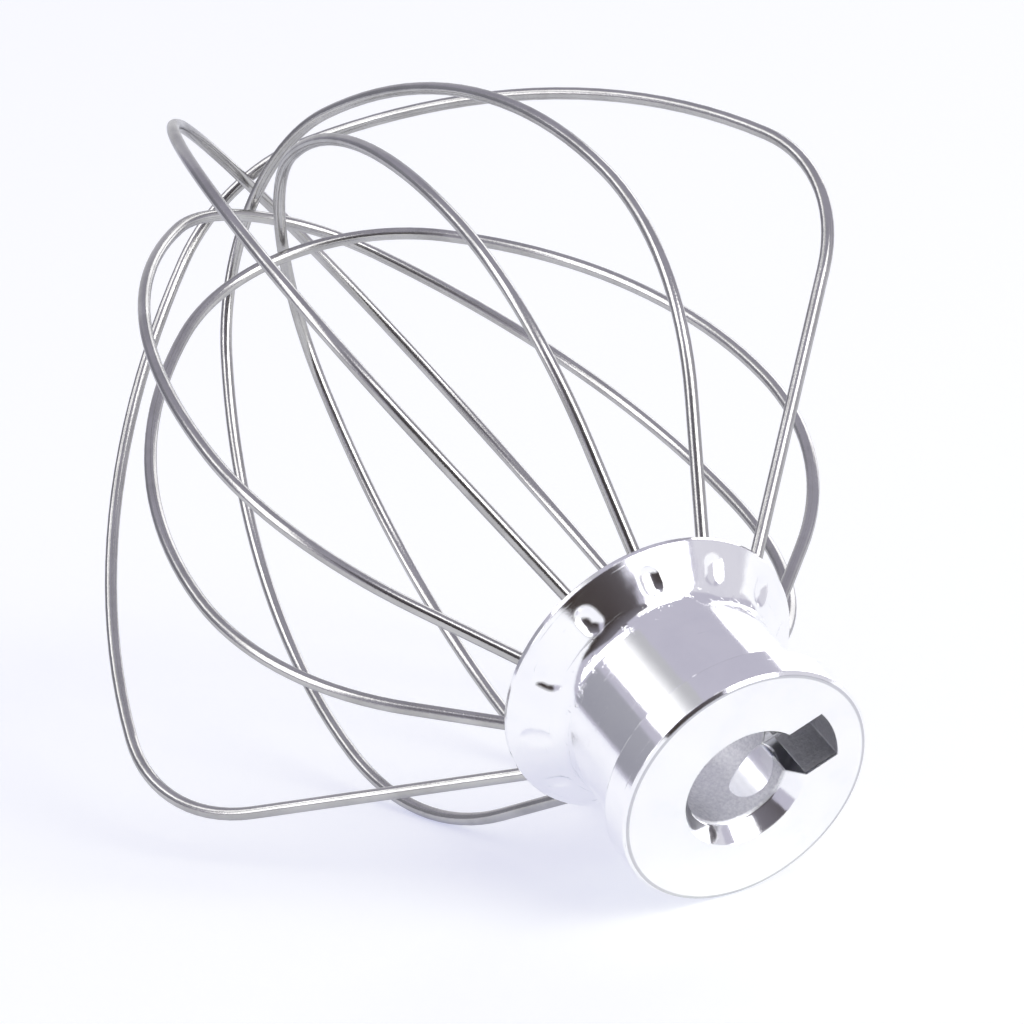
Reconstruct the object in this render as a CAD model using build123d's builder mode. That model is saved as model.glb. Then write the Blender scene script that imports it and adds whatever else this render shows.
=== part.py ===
from build123d import *
from math import cos, radians, sin, sqrt
import os

os.makedirs("parts", exist_ok=True)

# Stand mixer wire whisk: a turned hub with six bent wire loops staked into its back.
# It lies on a table, carried by two of its loops and the edge of its flange.
# Millimetres and degrees, +Z up, the hub's axis in the XZ plane and the wires towards +X.

# Hub
flange_d = 32
flange_t = 4.9
flange_bevel = 0.4
waist_d = 28
throat_r = 3
cone_angle = 48
rim_d = 38
rim_land = 0.6
hub_l = 23.5

# Drive bore for the mixer's shaft, and the keyway and lock pocket for its cross pin
bore_d = 13
bore_bevel = 0.5
mouth_d = 16
mouth_angle = 60
key_w = 7.4
key_reach = 12.1
key_depth = 7.6
key_turn = 15.5
lip_t = 2
lock_turn = 54

# Wires, and the holes and stake marks that hold their ends
wire_d = 1.6
wire_clearance = 0.05
exit_r = 17
seat_depth = 6
mark_z = 20.55
mark_w = 2.9
mark_l = 3.9
mark_depth = 0.4

# Five loops share one bend: straight legs, round shoulders, then sides that lean in to the tip
leg_angle = 45
shoulder_r = 44
side_in = 45

# The widest loop has squarer shoulders, which turn in a little before its sides begin
wide_leg_angle = 48
wide_shoulder_r = 24
wide_shoulder_in = 15
wide_side_in = 57

# Half width of each loop
half_width_1 = 56
half_width_2 = 43
half_width_3 = 40.5
half_width_4 = 47.5
half_width_5 = 40.5
half_width_6 = 39.5

# Reach of the longest loop from the hub's end face. The tips cross one above another, each a step
# short of the one outside it, with one longer jump between the outer four and the inner two.
reach_1 = 139
tip_step = 2.5
tip_jump = 7.5
reach_4 = reach_1 - tip_step
reach_2 = reach_4 - tip_step
reach_5 = reach_2 - tip_step
reach_3 = reach_5 - tip_jump
reach_6 = reach_3 - tip_step

# Each loop's plane is turned one step on from the last. The fourth leans a little off the axis.
loop_step = -30
lean_4 = 1


def legs(half_width, leg, shoulder):
    """Straight length of a leg, and the height of the widest point above the hub's back."""
    a = radians(leg)
    straight = (half_width - exit_r - shoulder * (1 - cos(a))) / sin(a)
    return straight, straight * cos(a) + shoulder * sin(a)


def hang(tilt, off, half_width):
    """How far below the end face's centre a common loop reaches, on a hub with this tilt."""
    straight, widest = legs(half_width, leg_angle, shoulder_r)
    side = cos(radians(tilt)) * cos(radians(off))
    drop = sin(radians(tilt))
    centre = (half_width - shoulder_r) * side - (hub_l + widest) * drop
    return centre + shoulder_r * sqrt(side**2 + drop**2) + wire_d / 2


def flange_hang(tilt):
    """How far below the end face's centre the flange's edge reaches."""
    return flange_d / 2 * cos(radians(tilt)) - flange_bevel * sin(radians(tilt))


# Resting turn and tilt: the far sides of loops 2 and 3 and the flange's edge meet the table
far_2 = 180 + loop_step
far_3 = 180 + 2 * loop_step


def resting_turn(tilt):
    low = far_3
    high = far_2
    for halving in range(40):
        turn = (low + high) / 2
        if hang(tilt, turn - far_3, half_width_3) > hang(tilt, turn - far_2, half_width_2):
            low = turn
        else:
            high = turn
    return low


low_tilt = 5
high_tilt = 60
for halving in range(40):
    tilt = (low_tilt + high_tilt) / 2
    if hang(tilt, resting_turn(tilt) - far_3, half_width_3) > flange_hang(tilt):
        low_tilt = tilt
    else:
        high_tilt = tilt
down_turn = resting_turn(tilt)

# The hub's axis, and the direction square to it at each turn
along = Vector(cos(radians(tilt)), 0, sin(radians(tilt)))
down = Vector(sin(radians(tilt)), 0, -cos(radians(tilt)))
across = Vector(0, 1, 0)


def radial(turn):
    return down * cos(radians(turn - down_turn)) + across * sin(radians(turn - down_turn))


def loop_plane(end_centre, turn, lean=0):
    """Plane of one loop, its X across the hub's back face and its Y up the loop."""
    normal = radial(turn - 90) * cos(radians(lean)) + along * sin(radians(lean))
    return Plane(origin=end_centre + along * hub_l, x_dir=radial(turn), z_dir=normal)


def loop_path(plane, half_width, reach, leg, shoulder, turned_in, side):
    """Centre line of one loop, from the bottom of one hole round to the bottom of the other."""
    a = radians(leg)
    b = radians(turned_in)
    g = radians(side)
    straight, widest = legs(half_width, leg, shoulder)
    side_x = half_width - shoulder * (1 - cos(b))
    side_y = widest + shoulder * sin(b)
    tip_y = reach - hub_l
    rise = (1 - sin(g)) / cos(g)
    side_r = (tip_y - side_y - side_x * rise) / (sin(g) - sin(b) - (cos(b) - cos(g)) * rise)
    tip_r = (side_x - side_r * (cos(b) - cos(g))) / cos(g)
    foot_x = exit_r - seat_depth * sin(a)
    foot_y = -seat_depth * cos(a)
    with BuildLine(plane) as path:
        out_leg = Line((foot_x, foot_y), (exit_r + straight * sin(a), straight * cos(a)))
        near_shoulder = JernArc(out_leg @ 1, out_leg % 1, shoulder, leg + turned_in)
        near_side = JernArc(near_shoulder @ 1, near_shoulder % 1, side_r, side - turned_in)
        tip = JernArc(near_side @ 1, near_side % 1, tip_r, 180 - 2 * side)
        far_side = JernArc(tip @ 1, tip % 1, side_r, side - turned_in)
        far_shoulder = JernArc(far_side @ 1, far_side % 1, shoulder, leg + turned_in)
        Line(far_shoulder @ 1, (-foot_x, foot_y))
    return path.wire()


def common_path(end_centre, number, half_width, reach, lean=0):
    plane = loop_plane(end_centre, (number - 1) * loop_step, lean)
    return loop_path(plane, half_width, reach, leg_angle, shoulder_r, 0, side_in)


def all_paths(end_centre):
    plane_1 = loop_plane(end_centre, 0)
    return [
        loop_path(
            plane_1, half_width_1, reach_1, wide_leg_angle, wide_shoulder_r, wide_shoulder_in, wide_side_in
        ),
        common_path(end_centre, 2, half_width_2, reach_2),
        common_path(end_centre, 3, half_width_3, reach_3),
        common_path(end_centre, 4, half_width_4, reach_4, lean_4),
        common_path(end_centre, 5, half_width_5, reach_5),
        common_path(end_centre, 6, half_width_6, reach_6),
    ]


# The origin is on the table under the middle of the whisk
boxes = [path.bounding_box() for path in all_paths(Vector(0, 0, 0))]
max_x = max(box.max.X for box in boxes) + wire_d / 2
min_x = -(flange_d / 2 - flange_bevel) * sin(radians(tilt))
max_y = max(box.max.Y for box in boxes)
min_y = min(box.min.Y for box in boxes)
end_centre = Vector(-(max_x + min_x) / 2, -(max_y + min_y) / 2, flange_hang(tilt))
path_1, path_2, path_3, path_4, path_5, path_6 = all_paths(end_centre)

# Planes of the hub: one through its axis, its end face, and the far side of the lock pocket
axis = Axis(end_centre, along)
lock_end = key_turn - lock_turn
side_plane = Plane(origin=end_centre, x_dir=radial(key_turn), z_dir=radial(key_turn - 90))
end_plane = Plane(origin=end_centre, x_dir=radial(key_turn), z_dir=-along)
lock_plane = Plane(origin=end_centre, x_dir=radial(lock_end), z_dir=radial(lock_end - 90))

# Sizes that follow: the cone meets the waist at cone_z, and the throat blends the two
cone_z = hub_l - rim_land - (rim_d - waist_d) / 2 * cos(radians(cone_angle)) / sin(radians(cone_angle))
throat_l = throat_r * sin(radians(cone_angle / 2)) / cos(radians(cone_angle / 2))
mark_r = rim_d / 2 - (hub_l - rim_land - mark_z) * sin(radians(cone_angle)) / cos(radians(cone_angle))
mouth_l = (mouth_d - bore_d) / 2 * cos(radians(mouth_angle / 2)) / sin(radians(mouth_angle / 2))
mark_round = (mark_w**2 / 4 + mark_depth**2) / (2 * mark_depth)
mark_lift = mark_round - mark_depth
mark_long = mark_l - mark_w + 2 * mark_round

with BuildPart() as hub:
    # Turned outside: flange, waist, throat, cone and rim
    with BuildSketch(side_plane):
        with BuildLine():
            Polyline(
                (0, 0),
                (flange_d / 2 - flange_bevel, 0),
                (flange_d / 2, flange_bevel),
                (flange_d / 2, flange_t - flange_bevel),
                (flange_d / 2 - flange_bevel, flange_t),
                (waist_d / 2, flange_t),
                (waist_d / 2, cone_z - throat_l),
            )
            throat = JernArc((waist_d / 2, cone_z - throat_l), (0, 1), throat_r, -cone_angle)
            Polyline(
                throat @ 1,
                (rim_d / 2, hub_l - rim_land),
                (rim_d / 2, hub_l),
                (0, hub_l),
                (0, 0),
            )
        make_face()
    revolve(axis=axis)
    # Bore right through, with a countersunk mouth and a small bevel at the back
    with BuildSketch(side_plane):
        with BuildLine():
            Polyline(
                (0, 0),
                (mouth_d / 2, 0),
                (bore_d / 2, mouth_l),
                (bore_d / 2, hub_l - bore_bevel),
                (bore_d / 2 + bore_bevel, hub_l),
                (0, hub_l),
                (0, 0),
            )
        make_face()
    revolve(axis=axis, mode=Mode.SUBTRACT)
    # Keyway for the cross pin, then the pocket behind the lip where the pin turns to lock
    with BuildSketch(end_plane):
        Rectangle(key_reach, key_w, align=(Align.MIN, Align.CENTER))
        Circle(key_reach, mode=Mode.INTERSECT)
    extrude(amount=-key_depth, mode=Mode.SUBTRACT)
    with BuildSketch(lock_plane):
        with BuildLine():
            Polyline(
                (0, lip_t), (key_reach, lip_t), (key_reach, key_depth), (0, key_depth), (0, lip_t)
            )
        make_face()
    revolve(axis=axis, revolution_arc=lock_turn, mode=Mode.SUBTRACT)
    # A hole for each wire end, square to the leg that leaves it
    for number in range(1, 7):
        leg = wide_leg_angle if number == 1 else leg_angle
        plane = loop_plane(end_centre, (number - 1) * loop_step, lean_4 if number == 4 else 0)
        for way in (1, -1):
            out = plane.x_dir * (way * sin(radians(leg))) + plane.y_dir * cos(radians(leg))
            foot = plane.origin + plane.x_dir * (way * exit_r) - out * seat_depth
            with BuildSketch(Plane(origin=foot, x_dir=plane.z_dir, z_dir=out)):
                Circle(wire_d / 2 + wire_clearance)
            extrude(amount=seat_depth + 2 * wire_d, mode=Mode.SUBTRACT)
    # An oval stake mark on the cone over each hole
    for turn in range(0, 360, 30):
        slant = radial(turn) * sin(radians(cone_angle)) + along * cos(radians(cone_angle))
        outward = radial(turn) * cos(radians(cone_angle)) - along * sin(radians(cone_angle))
        spot = end_centre + radial(turn) * mark_r + along * mark_z + outward * mark_lift
        with BuildSketch(Plane(origin=spot, x_dir=slant, z_dir=radial(turn - 90))):
            SlotCenterToCenter(mark_l - mark_w, 2 * mark_round)
            with Locations((0, mark_round)):
                Rectangle(2 * mark_long, 2 * mark_round, mode=Mode.SUBTRACT)
        revolve(axis=Axis(spot, slant), mode=Mode.SUBTRACT)
hub.part.label = "hub"
export_step(hub.part, "parts/hub.step")

with BuildPart() as wire_loop_1:
    with BuildSketch(Plane(origin=path_1 @ 0, z_dir=path_1 % 0)):
        Circle(wire_d / 2)
    sweep(path=path_1)
wire_loop_1.part.label = "wire_loop_1"
export_step(wire_loop_1.part, "parts/wire_loop_1.step")

with BuildPart() as wire_loop_2:
    with BuildSketch(Plane(origin=path_2 @ 0, z_dir=path_2 % 0)):
        Circle(wire_d / 2)
    sweep(path=path_2)
wire_loop_2.part.label = "wire_loop_2"
export_step(wire_loop_2.part, "parts/wire_loop_2.step")

with BuildPart() as wire_loop_3:
    with BuildSketch(Plane(origin=path_3 @ 0, z_dir=path_3 % 0)):
        Circle(wire_d / 2)
    sweep(path=path_3)
wire_loop_3.part.label = "wire_loop_3"
export_step(wire_loop_3.part, "parts/wire_loop_3.step")

with BuildPart() as wire_loop_4:
    with BuildSketch(Plane(origin=path_4 @ 0, z_dir=path_4 % 0)):
        Circle(wire_d / 2)
    sweep(path=path_4)
wire_loop_4.part.label = "wire_loop_4"
export_step(wire_loop_4.part, "parts/wire_loop_4.step")

with BuildPart() as wire_loop_5:
    with BuildSketch(Plane(origin=path_5 @ 0, z_dir=path_5 % 0)):
        Circle(wire_d / 2)
    sweep(path=path_5)
wire_loop_5.part.label = "wire_loop_5"
export_step(wire_loop_5.part, "parts/wire_loop_5.step")

with BuildPart() as wire_loop_6:
    with BuildSketch(Plane(origin=path_6 @ 0, z_dir=path_6 % 0)):
        Circle(wire_d / 2)
    sweep(path=path_6)
wire_loop_6.part.label = "wire_loop_6"
export_step(wire_loop_6.part, "parts/wire_loop_6.step")
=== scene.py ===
from math import cos, radians, sin, tan

import bmesh
import bpy
from mathutils import Euler, Matrix, Vector

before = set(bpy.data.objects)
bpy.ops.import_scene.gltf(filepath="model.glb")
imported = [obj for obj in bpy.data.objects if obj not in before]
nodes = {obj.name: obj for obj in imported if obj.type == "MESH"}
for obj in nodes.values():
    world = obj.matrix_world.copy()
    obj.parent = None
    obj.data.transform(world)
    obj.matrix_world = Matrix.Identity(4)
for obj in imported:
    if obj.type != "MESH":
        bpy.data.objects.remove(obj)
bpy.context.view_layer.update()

scene = bpy.context.scene
scene.view_settings.view_transform = "Standard"

# Camera, at the height and angle of a person who looks down at the whisk on a table
CAMERA_PLACE = (-0.51012, 0.24501, 0.17325)
CAMERA_TURN = (76.334, 6.06, -117.489)
CAMERA_LENS = 164.36
CAMERA_SENSOR = 36.0
CAMERA_NEAR = 0.01
CAMERA_FAR = 20.0

# Hub, in metres: the middle of its end face, its tilt off the table in degrees, and sizes about its
# axis. Depths run from the end face towards the wires.
HUB_END = (-0.061137, 0.0, 0.014456)
HUB_TILT = 23.98
FLANGE_RADIUS = 0.016
BORE_RADIUS = 0.0065
MOUTH_RADIUS = 0.008
KEY_REACH = 0.0121
KEY_DEPTH = 0.0076
THROAT_DEPTH = 0.0178
EDGE_ROUND = 0.00025
MARK_ROUND = 0.0005

# Bands in metres, each from where a fade is 0 to where it is 1: five of radius, then six of depth
BORE_WALL = (BORE_RADIUS + 0.0001, BORE_RADIUS + 0.0003)
HUB_OUTSIDE = (BORE_RADIUS + 0.003, BORE_RADIUS + 0.004)
MOUTH_RIM = (MOUTH_RADIUS, MOUTH_RADIUS + 0.0002)
KEY_WALL = (KEY_REACH + 0.0002, KEY_REACH + 0.0004)
# Radius and depth of the painted dark edge line round the end face
PAINTED_RIM_LINE_BAND = (FLANGE_RADIUS - 0.0008, FLANGE_RADIUS - 0.0006)
PAINTED_RIM_LINE_DEPTHS = (0.00004, 0.00012)
KEY_TOP = (0.0002, 0.0005)
KEY_FLOOR = (KEY_DEPTH - 0.0004, KEY_DEPTH - 0.0002)
OFF_THROAT = (0.0003, 0.0021)
MARKS_START = (0.0183, 0.0187)
MARKS_END = (0.0224, 0.0228)

# Raw skin is left on one side of the bore, round a worn bright oval. Turns are about the axis.
RAW_FROM = (radians(-106.0), radians(-102.0))
RAW_TO = (radians(52.0), radians(60.0))
RAW_END = (0.016, 0.017)
OVAL_TURN = radians(-54.0)
OVAL_HALF_TURN = radians(33.0)
OVAL_DEPTH = 0.0063
OVAL_HALF_DEPTH = 0.0026
OVAL_EDGE = (0.94, 1.02)

# Patterns: the scales of their noise, and the bands of it that each one is made of
GRAIN_PATCHES = (0.35, 0.68)
PATCH_SHARE = 0.65
GRAIN_SHARE = 0.5
LINES_SCALE = 5200.0
SCRATCH_STRETCH = (70.0, 70.0, 2600.0)
SCRATCHES = (0.64, 0.7)
NICKS_SCALE = 900.0
NICKS = (0.56, 0.68)
SKIN_SCALE = 2400.0
SKIN_SPECKS = (0.32, 0.68)
WAVES_SCALE = 210.0

# Roughness of the hub's worn places
SCRATCH_ROUGHNESS = 0.34
SCRATCH_DULLS = 0.7
NICK_ROUGHNESS = 0.28
NICK_DULLS = 0.5
OVAL_ROUGHNESS = 0.16
SKIN_ROUGHNESS = 0.3
SKIN_ROUGHER = 0.3

# Relief of the hub's finish, as shares of the bump's distance
LINES_RELIEF = 0.012
WAVES_RELIEF = 0.25
GRAIN_RELIEF = 0.02
SCRATCH_RELIEF = 0.03
NICKS_RELIEF = 0.28
SKIN_RELIEF = 0.7

# Colours of the metals
POLISH = (0.965, 0.965, 0.975, 1.0)
SOFT_POLISH = (0.925, 0.925, 0.945, 1.0)
SCRATCHED = (0.8, 0.8, 0.83, 1.0)
# A painted dark edge line round the end face's rim, as shade, and how strongly it darkens
PAINTED_RIM_LINE = (0.5, 0.5, 0.54, 1.0)
PAINTED_RIM_LINE_SHARE = 0.8
# Painted shade on the keyway's milled walls, mottled at random between these two
KEYWAY_SHADE = (0.3, 0.3, 0.33, 1.0)
PALE_KEYWAY_SHADE = (0.78, 0.78, 0.81, 1.0)
SKIN = (0.72, 0.72, 0.76, 1.0)
PALE_SKIN = (0.95, 0.95, 0.97, 1.0)
STEEL = (0.53, 0.525, 0.52, 1.0)
DULL_STEEL = (0.43, 0.425, 0.42, 1.0)
STEEL_EDGE = (0.7, 0.7, 0.73, 1.0)

# The set: a white table, and panels that stand this far from a point by the hub
TABLE_SIZE = 8.0
TABLE_PAINT = (0.66, 0.66, 0.45, 1.0)
TABLE_LIFT = (0.42, 0.435, 0.63, 1.0)
ROOM = (0.52, 0.505, 0.6, 1.0)
BACKDROP = (1.0, 1.0, 1.0, 1.0)
STUDIO_CENTRE = Vector((-0.05, 0.0, 0.02))
PANEL_DISTANCE = 3.0

WHITE = (1.0, 1.0, 1.0, 1.0)
LILAC = (0.7, 0.69, 0.76, 1.0)
GREY = (0.37, 0.37, 0.42, 1.0)
SLATE = (0.33, 0.33, 0.38, 1.0)
DIM = (0.17, 0.17, 0.18, 1.0)
DUSK = (0.17, 0.16, 0.185, 1.0)
DARK = (0.045, 0.034, 0.031, 1.0)

# Each panel's name, the azimuths and elevations it spans in degrees, its colours at foot and head,
# its glow, and whether it lights the set or is only mirrored by the metal
PANELS = (
    ("right_softbox", (183, 221), (4, 58), WHITE, WHITE, 4.3, True),
    ("high_softbox", (162, 184), (46, 60), WHITE, WHITE, 3.0, False),
    ("strip_softbox", (69, 101), (11, 67), WHITE, WHITE, 3.0, False),
    ("back_softbox", (36, 62), (37, 68), WHITE, DIM, 3.0, False),
    ("side_softbox", (-68, -42), (0, 38), WHITE, WHITE, 2.4, True),
    ("paper_sweep", (-41, 5), (0, 36), WHITE, LILAC, 1.0, False),
    ("dark_screen", (121, 181), (0, 46), DARK, DUSK, 1.0, False),
    ("left_screen", (12, 62), (2, 31), SLATE, GREY, 1.0, False),
    ("right_wall", (222, 270), (-2, 34), LILAC, LILAC, 1.0, False),
)


def set_camera():
    data = bpy.data.cameras.new("camera")
    data.lens = CAMERA_LENS
    data.sensor_width = CAMERA_SENSOR
    data.clip_start = CAMERA_NEAR
    data.clip_end = CAMERA_FAR
    camera = bpy.data.objects.new("camera", data)
    camera.location = CAMERA_PLACE
    camera.rotation_euler = Euler([radians(angle) for angle in CAMERA_TURN], "XYZ")
    scene.collection.objects.link(camera)
    scene.camera = camera


def feed(tree, value, socket):
    """Sets a socket to a plain value, or links another node's output to it."""
    if isinstance(value, bpy.types.NodeSocket):
        tree.links.new(value, socket)
    else:
        socket.default_value = value


def calc(tree, operation, first, second=0.0):
    """One step of arithmetic."""
    node = tree.nodes.new("ShaderNodeMath")
    node.operation = operation
    feed(tree, first, node.inputs[0])
    feed(tree, second, node.inputs[1])
    return node.outputs["Value"]


def times(tree, first, *others):
    """The product of two or more values."""
    for other in others:
        first = calc(tree, "MULTIPLY", first, other)
    return first


def without(tree, share):
    """1 where the share is 0, and 0 where it is 1."""
    return calc(tree, "SUBTRACT", 1.0, share)


def length(tree, along, across):
    """How far off a point is that lies this far along and this far across."""
    squares = calc(tree, "ADD", times(tree, along, along), times(tree, across, across))
    return calc(tree, "SQRT", squares)


def fade(tree, value, start, end):
    """0 up to start, 1 from end on, and a smooth step between them."""
    node = tree.nodes.new("ShaderNodeMapRange")
    node.interpolation_type = "SMOOTHSTEP"
    feed(tree, value, node.inputs["Value"])
    feed(tree, start, node.inputs["From Min"])
    feed(tree, end, node.inputs["From Max"])
    return node.outputs["Result"]


def mix(tree, share, first, second):
    """A number part way from the first to the second."""
    node = tree.nodes.new("ShaderNodeMix")
    node.data_type = "FLOAT"
    feed(tree, share, node.inputs[0])
    feed(tree, first, node.inputs[2])
    feed(tree, second, node.inputs[3])
    return node.outputs[0]


def mix_colour(tree, share, first, second):
    """A colour part way from the first to the second."""
    node = tree.nodes.new("ShaderNodeMix")
    node.data_type = "RGBA"
    feed(tree, share, node.inputs[0])
    feed(tree, first, node.inputs[6])
    feed(tree, second, node.inputs[7])
    return node.outputs[2]


def noise(tree, vector, scale, detail, roughness=0.5):
    node = tree.nodes.new("ShaderNodeTexNoise")
    feed(tree, vector, node.inputs["Vector"])
    feed(tree, scale, node.inputs["Scale"])
    node.inputs["Detail"].default_value = detail
    node.inputs["Roughness"].default_value = roughness
    return node.outputs["Fac"]


def bump(tree, height, strength, distance, normal=None):
    node = tree.nodes.new("ShaderNodeBump")
    node.inputs["Strength"].default_value = strength
    node.inputs["Distance"].default_value = distance
    tree.links.new(height, node.inputs["Height"])
    if normal:
        tree.links.new(normal, node.inputs["Normal"])
    return node.outputs["Normal"]


def metal_grain_group():
    """Uneven polish of a metal surface: patches of finer and coarser shine, and a fine grain."""
    tree = bpy.data.node_groups.new("metal_grain", "ShaderNodeTree")
    tree.interface.new_socket("Vector", in_out="INPUT", socket_type="NodeSocketVector")
    for name in ("Patch Scale", "Grain Scale", "Smoothest", "Roughest"):
        tree.interface.new_socket(name, in_out="INPUT", socket_type="NodeSocketFloat")
    for name in ("Patches", "Roughness", "Height"):
        tree.interface.new_socket(name, in_out="OUTPUT", socket_type="NodeSocketFloat")
    given = tree.nodes.new("NodeGroupInput")
    made = tree.nodes.new("NodeGroupOutput")
    vector = given.outputs["Vector"]
    blotches = noise(tree, vector, given.outputs["Patch Scale"], detail=4.0, roughness=0.6)
    patches = fade(tree, blotches, *GRAIN_PATCHES)
    grain = noise(tree, vector, given.outputs["Grain Scale"], detail=3.0, roughness=0.65)
    blend = calc(tree, "ADD", times(tree, patches, PATCH_SHARE), times(tree, grain, GRAIN_SHARE))
    spread = tree.nodes.new("ShaderNodeMapRange")
    feed(tree, blend, spread.inputs["Value"])
    feed(tree, given.outputs["Smoothest"], spread.inputs["To Min"])
    feed(tree, given.outputs["Roughest"], spread.inputs["To Max"])
    tree.links.new(patches, made.inputs["Patches"])
    tree.links.new(spread.outputs["Result"], made.inputs["Roughness"])
    tree.links.new(grain, made.inputs["Height"])
    return tree


def grain_in(tree, group, vector, patch_scale, grain_scale, smoothest, roughest):
    """The shared grain in one metal, at this metal's scales and roughness."""
    node = tree.nodes.new("ShaderNodeGroup")
    node.node_tree = group
    tree.links.new(vector, node.inputs["Vector"])
    node.inputs["Patch Scale"].default_value = patch_scale
    node.inputs["Grain Scale"].default_value = grain_scale
    node.inputs["Smoothest"].default_value = smoothest
    node.inputs["Roughest"].default_value = roughest
    return node.outputs


def empty_material(name):
    """A material with only an output in it, and the socket that its surface goes to."""
    material = bpy.data.materials.new(name)
    material.use_nodes = True
    tree = material.node_tree
    tree.nodes.clear()
    output = tree.nodes.new("ShaderNodeOutputMaterial")
    return material, tree, output.inputs["Surface"]


def metal(name):
    """A material with a metallic Principled BSDF in it."""
    material, tree, surface = empty_material(name)
    shader = tree.nodes.new("ShaderNodeBsdfPrincipled")
    shader.inputs["Metallic"].default_value = 1.0
    tree.links.new(shader.outputs["BSDF"], surface)
    return material, tree, shader


def hub_place(tree):
    """A point in the hub's own frame, and its turn about the axis, its radius and its depth."""
    place = tree.nodes.new("ShaderNodeTexCoord")
    turned = tree.nodes.new("ShaderNodeMapping")
    turned.vector_type = "TEXTURE"
    turned.inputs["Location"].default_value = HUB_END
    turned.inputs["Rotation"].default_value = (0.0, radians(90.0 - HUB_TILT), 0.0)
    tree.links.new(place.outputs["Object"], turned.inputs["Vector"])
    spot = turned.outputs["Vector"]
    split = tree.nodes.new("ShaderNodeSeparateXYZ")
    tree.links.new(spot, split.inputs["Vector"])
    turn = calc(tree, "ARCTAN2", split.outputs["Y"], split.outputs["X"])
    radius = length(tree, split.outputs["X"], split.outputs["Y"])
    return spot, turn, radius, split.outputs["Z"]


def bore_masks(tree, turn, radius, depth):
    """The raw skin on one side of the bore, and the worn oval in its midst."""
    inside = without(tree, fade(tree, radius, *BORE_WALL))
    side = times(tree, fade(tree, turn, *RAW_FROM), without(tree, fade(tree, turn, *RAW_TO)))
    raw_bore = times(tree, inside, side, without(tree, fade(tree, depth, *RAW_END)))
    turn_share = calc(tree, "DIVIDE", calc(tree, "SUBTRACT", turn, OVAL_TURN), OVAL_HALF_TURN)
    depth_share = calc(tree, "DIVIDE", calc(tree, "SUBTRACT", depth, OVAL_DEPTH), OVAL_HALF_DEPTH)
    off_oval = fade(tree, length(tree, turn_share, depth_share), *OVAL_EDGE)
    cast = times(tree, raw_bore, off_oval)
    return cast, calc(tree, "SUBTRACT", raw_bore, cast)


def keyway_mask(tree, radius, depth):
    """The milled walls of the keyway and its pocket."""
    within_reach = without(tree, fade(tree, radius, *KEY_WALL))
    past_mouth = fade(tree, radius, *MOUTH_RIM)
    below_face = fade(tree, depth, *KEY_TOP)
    above_floor = without(tree, fade(tree, depth, *KEY_FLOOR))
    return times(tree, within_reach, past_mouth, below_face, above_floor)


def turned_lines(tree, radius, depth):
    """Fine lines round the axis, on the faces as rings and on the waist as hoops."""
    node = tree.nodes.new("ShaderNodeTexNoise")
    node.noise_dimensions = "1D"
    node.inputs["Scale"].default_value = LINES_SCALE
    node.inputs["Detail"].default_value = 3.0
    tree.links.new(calc(tree, "ADD", depth, radius), node.inputs["W"])
    return node.outputs["Fac"]


def scratch_mask(tree, spot):
    """Light scratches that run across the axis."""
    stretched = tree.nodes.new("ShaderNodeMapping")
    stretched.inputs["Scale"].default_value = SCRATCH_STRETCH
    tree.links.new(spot, stretched.inputs["Vector"])
    streaks = noise(tree, stretched.outputs["Vector"], scale=1.0, detail=4.0, roughness=0.7)
    return fade(tree, streaks, *SCRATCHES)


def nick_mask(tree, spot, outside, depth):
    """Pits and nicks in the throat, where the polishing wheel doesn't reach."""
    off_throat = calc(tree, "ABSOLUTE", calc(tree, "SUBTRACT", depth, THROAT_DEPTH))
    near_throat = without(tree, fade(tree, off_throat, *OFF_THROAT))
    nicks = fade(tree, noise(tree, spot, NICKS_SCALE, detail=3.0, roughness=0.6), *NICKS)
    return times(tree, nicks, near_throat, outside)


def rounded_normal(tree, outside, depth):
    """The surface's normal with its edges rounded off, more so at the stake marks."""
    node = tree.nodes.new("ShaderNodeBevel")
    past_start = fade(tree, depth, *MARKS_START)
    on_marks = times(tree, past_start, without(tree, fade(tree, depth, *MARKS_END)), outside)
    tree.links.new(mix(tree, on_marks, EDGE_ROUND, MARK_ROUND), node.inputs["Radius"])
    return node.outputs["Normal"]


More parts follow.
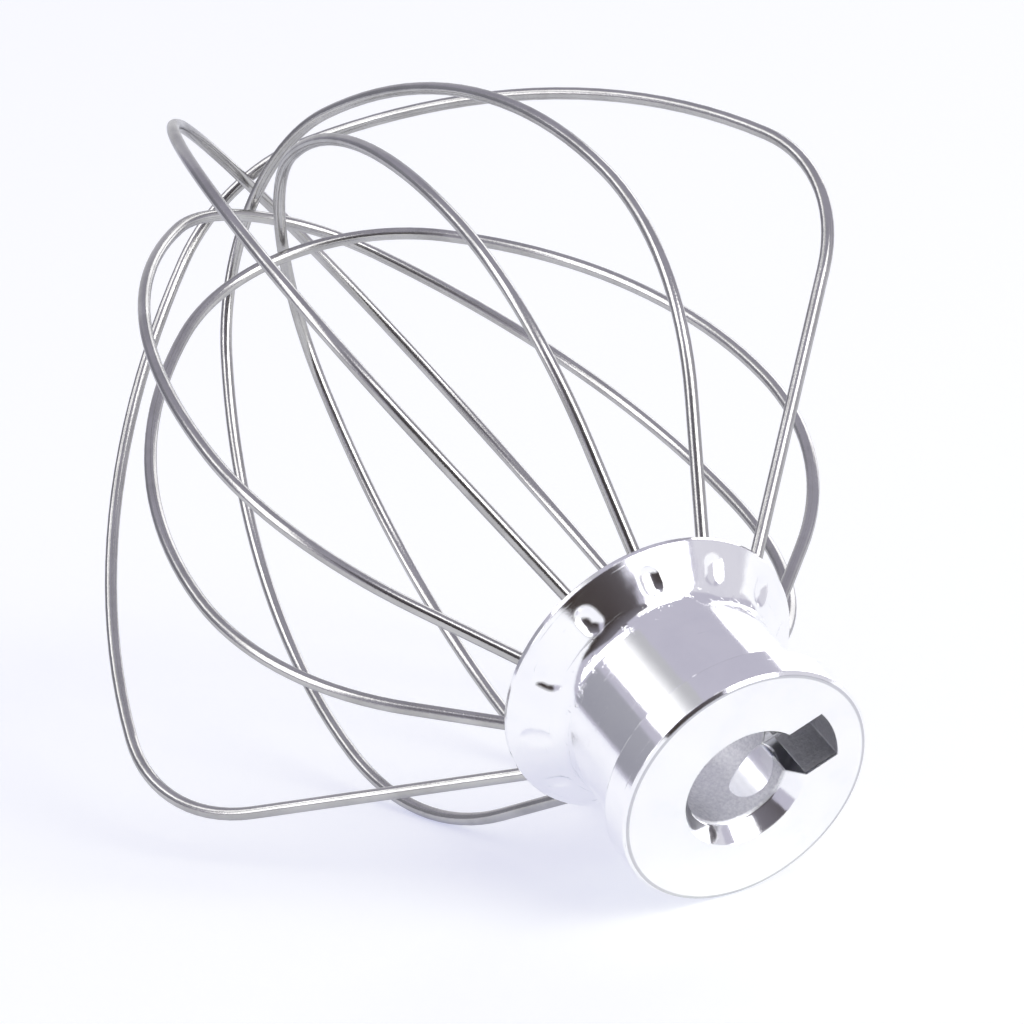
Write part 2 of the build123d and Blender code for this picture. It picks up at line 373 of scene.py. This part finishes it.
def polished_hub(grain_group):
    """Polished casting: turned lines, light scratches, nicks, raw cast skin in the bore, painted
    keyway shade, a painted dark rim line.
    """
    material, tree, shader = metal("polished_hub")
    spot, turn, radius, depth = hub_place(tree)
    cast, worn = bore_masks(tree, turn, radius, depth)
    raw = calc(tree, "MAXIMUM", cast, keyway_mask(tree, radius, depth))
    outside = fade(tree, radius, *HUB_OUTSIDE)
    lines = turned_lines(tree, radius, depth)
    scratches = scratch_mask(tree, spot)
    nicks = nick_mask(tree, spot, outside, depth)
    grain = grain_in(
        tree, grain_group, spot, patch_scale=160.0, grain_scale=4200.0, smoothest=0.05, roughest=0.13
    )
    skin = noise(tree, spot, SKIN_SCALE, detail=5.0, roughness=0.7)

    roughness = mix(tree, times(tree, scratches, SCRATCH_DULLS), grain["Roughness"], SCRATCH_ROUGHNESS)
    roughness = mix(tree, times(tree, nicks, NICK_DULLS), roughness, NICK_ROUGHNESS)
    roughness = mix(tree, worn, roughness, OVAL_ROUGHNESS)
    raw_roughness = calc(tree, "ADD", times(tree, skin, SKIN_ROUGHER), SKIN_ROUGHNESS)
    tree.links.new(mix(tree, raw, roughness, raw_roughness), shader.inputs["Roughness"])

    # The outer rim of the end face is painted darker, as a painted dark edge line that stands in for
    # shade at the edge
    near_end = without(tree, fade(tree, depth, *PAINTED_RIM_LINE_DEPTHS))
    painted_rim_mask = times(tree, fade(tree, radius, *PAINTED_RIM_LINE_BAND), near_end, PAINTED_RIM_LINE_SHARE)
    bright = mix_colour(tree, grain["Patches"], POLISH, SOFT_POLISH)
    bright = mix_colour(tree, scratches, bright, SCRATCHED)
    bright = mix_colour(tree, painted_rim_mask, bright, PAINTED_RIM_LINE)
    # The keyway's walls are painted dark as shade in the slot, mottled at random
    keyway_shade = mix_colour(tree, skin, KEYWAY_SHADE, PALE_KEYWAY_SHADE)
    pale = mix_colour(tree, fade(tree, skin, *SKIN_SPECKS), SKIN, PALE_SKIN)
    dull = mix_colour(tree, cast, keyway_shade, pale)
    tree.links.new(mix_colour(tree, raw, bright, dull), shader.inputs["Base Color"])

    waves = noise(tree, spot, WAVES_SCALE, detail=2.0)
    height = calc(tree, "ADD", times(tree, lines, LINES_RELIEF), times(tree, waves, WAVES_RELIEF))
    height = calc(tree, "ADD", height, times(tree, grain["Height"], GRAIN_RELIEF))
    height = calc(tree, "SUBTRACT", height, times(tree, scratches, SCRATCH_RELIEF))
    height = calc(tree, "SUBTRACT", height, times(tree, nicks, NICKS_RELIEF))
    height = calc(tree, "ADD", height, times(tree, raw, skin, SKIN_RELIEF))
    rounded = rounded_normal(tree, outside, depth)
    normal = bump(tree, height, strength=0.5, distance=0.0002, normal=rounded)
    tree.links.new(normal, shader.inputs["Normal"])
    return material


def drawn_wire(grain_group):
    """Drawn stainless wire: an uneven satin shine with fine grain and faint dull patches."""
    material, tree, shader = metal("drawn_wire")
    place = tree.nodes.new("ShaderNodeTexCoord")
    spot = place.outputs["Object"]
    grain = grain_in(
        tree, grain_group, spot, patch_scale=130.0, grain_scale=3600.0, smoothest=0.12, roughest=0.24
    )
    tree.links.new(mix_colour(tree, grain["Patches"], STEEL, DULL_STEEL), shader.inputs["Base Color"])
    tree.links.new(grain["Roughness"], shader.inputs["Roughness"])
    normal = bump(tree, grain["Height"], strength=0.25, distance=0.00005)
    tree.links.new(normal, shader.inputs["Normal"])
    shader.inputs["Specular Tint"].default_value = STEEL_EDGE
    return material


def dress(obj, material):
    """Gives every face of a CAD node this material."""
    obj.data.materials.clear()
    obj.data.materials.append(material)


def flat_stage(name, matrix, width, height, material):
    """A flat sheet of the set, not part of the whisk."""
    mesh = bpy.data.meshes.new(name)
    shape = bmesh.new()
    bmesh.ops.create_grid(shape, x_segments=1, y_segments=1, size=0.5)
    bmesh.ops.scale(shape, vec=(width, height, 1.0), verts=shape.verts)
    bmesh.ops.transform(shape, matrix=matrix, verts=shape.verts)
    shape.to_mesh(mesh)
    shape.free()
    sheet = bpy.data.objects.new(name, mesh)
    scene.collection.objects.link(sheet)
    mesh.materials.append(material)
    return sheet


def white_table():
    """A pale table. Its lift is for rays from the camera, from metal and through glass only."""
    material, tree, surface = empty_material("white_table")
    paint = tree.nodes.new("ShaderNodeBsdfDiffuse")
    paint.inputs["Color"].default_value = TABLE_PAINT
    path = tree.nodes.new("ShaderNodeLightPath")
    seen = calc(tree, "MAXIMUM", path.outputs["Is Camera Ray"], path.outputs["Is Glossy Ray"])
    seen = calc(tree, "MAXIMUM", seen, path.outputs["Is Transmission Ray"])
    lift = tree.nodes.new("ShaderNodeEmission")
    lift.inputs["Color"].default_value = TABLE_LIFT
    tree.links.new(seen, lift.inputs["Strength"])
    both = tree.nodes.new("ShaderNodeAddShader")
    tree.links.new(paint.outputs["BSDF"], both.inputs[0])
    tree.links.new(lift.outputs["Emission"], both.inputs[1])
    tree.links.new(both.outputs["Shader"], surface)
    flat_stage("table_top", Matrix.Identity(4), TABLE_SIZE, TABLE_SIZE, material)


def panel(name, azimuths, elevations, foot_colour, head_colour, glow, lights):
    """A flat panel that faces the hub and spans these angles, unseen by the camera itself."""
    azimuth = radians(sum(azimuths) / 2)
    elevation = radians(sum(elevations) / 2)
    way = Vector((cos(elevation) * cos(azimuth), cos(elevation) * sin(azimuth), sin(elevation)))
    width = 2 * PANEL_DISTANCE * tan(radians(azimuths[1] - azimuths[0]) / 2) * cos(elevation)
    height = 2 * PANEL_DISTANCE * tan(radians(elevations[1] - elevations[0]) / 2)

    material, tree, surface = empty_material(name)
    place = tree.nodes.new("ShaderNodeTexCoord")
    split = tree.nodes.new("ShaderNodeSeparateXYZ")
    tree.links.new(place.outputs["Object"], split.inputs["Vector"])
    foot = STUDIO_CENTRE.z + PANEL_DISTANCE * sin(radians(elevations[0]))
    head = STUDIO_CENTRE.z + PANEL_DISTANCE * sin(radians(elevations[1]))
    share = fade(tree, split.outputs["Z"], foot, head)
    light = tree.nodes.new("ShaderNodeEmission")
    light.inputs["Strength"].default_value = glow
    tree.links.new(mix_colour(tree, share, foot_colour, head_colour), light.inputs["Color"])
    tree.links.new(light.outputs["Emission"], surface)

    matrix = Matrix.Translation(STUDIO_CENTRE + way * PANEL_DISTANCE)
    matrix = matrix @ (-way).to_track_quat("Z", "Y").to_matrix().to_4x4()
    sheet = flat_stage(name, matrix, width, height, material)
    sheet.visible_camera = False
    sheet.visible_diffuse = lights
    sheet.visible_shadow = False


def studio_room():
    """A lavender room round the set, which the camera itself sees as white."""
    world = bpy.data.worlds.new("studio")
    scene.world = world
    world.use_nodes = True
    tree = world.node_tree
    room = tree.nodes["Background"]
    room.inputs["Color"].default_value = ROOM
    backdrop = tree.nodes.new("ShaderNodeBackground")
    backdrop.inputs["Color"].default_value = BACKDROP
    path = tree.nodes.new("ShaderNodeLightPath")
    either = tree.nodes.new("ShaderNodeMixShader")
    tree.links.new(path.outputs["Is Camera Ray"], either.inputs["Fac"])
    tree.links.new(room.outputs["Background"], either.inputs[1])
    tree.links.new(backdrop.outputs["Background"], either.inputs[2])
    tree.links.new(either.outputs["Shader"], tree.nodes["World Output"].inputs["Surface"])


set_camera()
grain_group = metal_grain_group()
hub_finish = polished_hub(grain_group)
wire_finish = drawn_wire(grain_group)
for name, node in nodes.items():
    dress(node, hub_finish if name == "hub" else wire_finish)
white_table()
studio_room()
for row in PANELS:
    panel(*row)
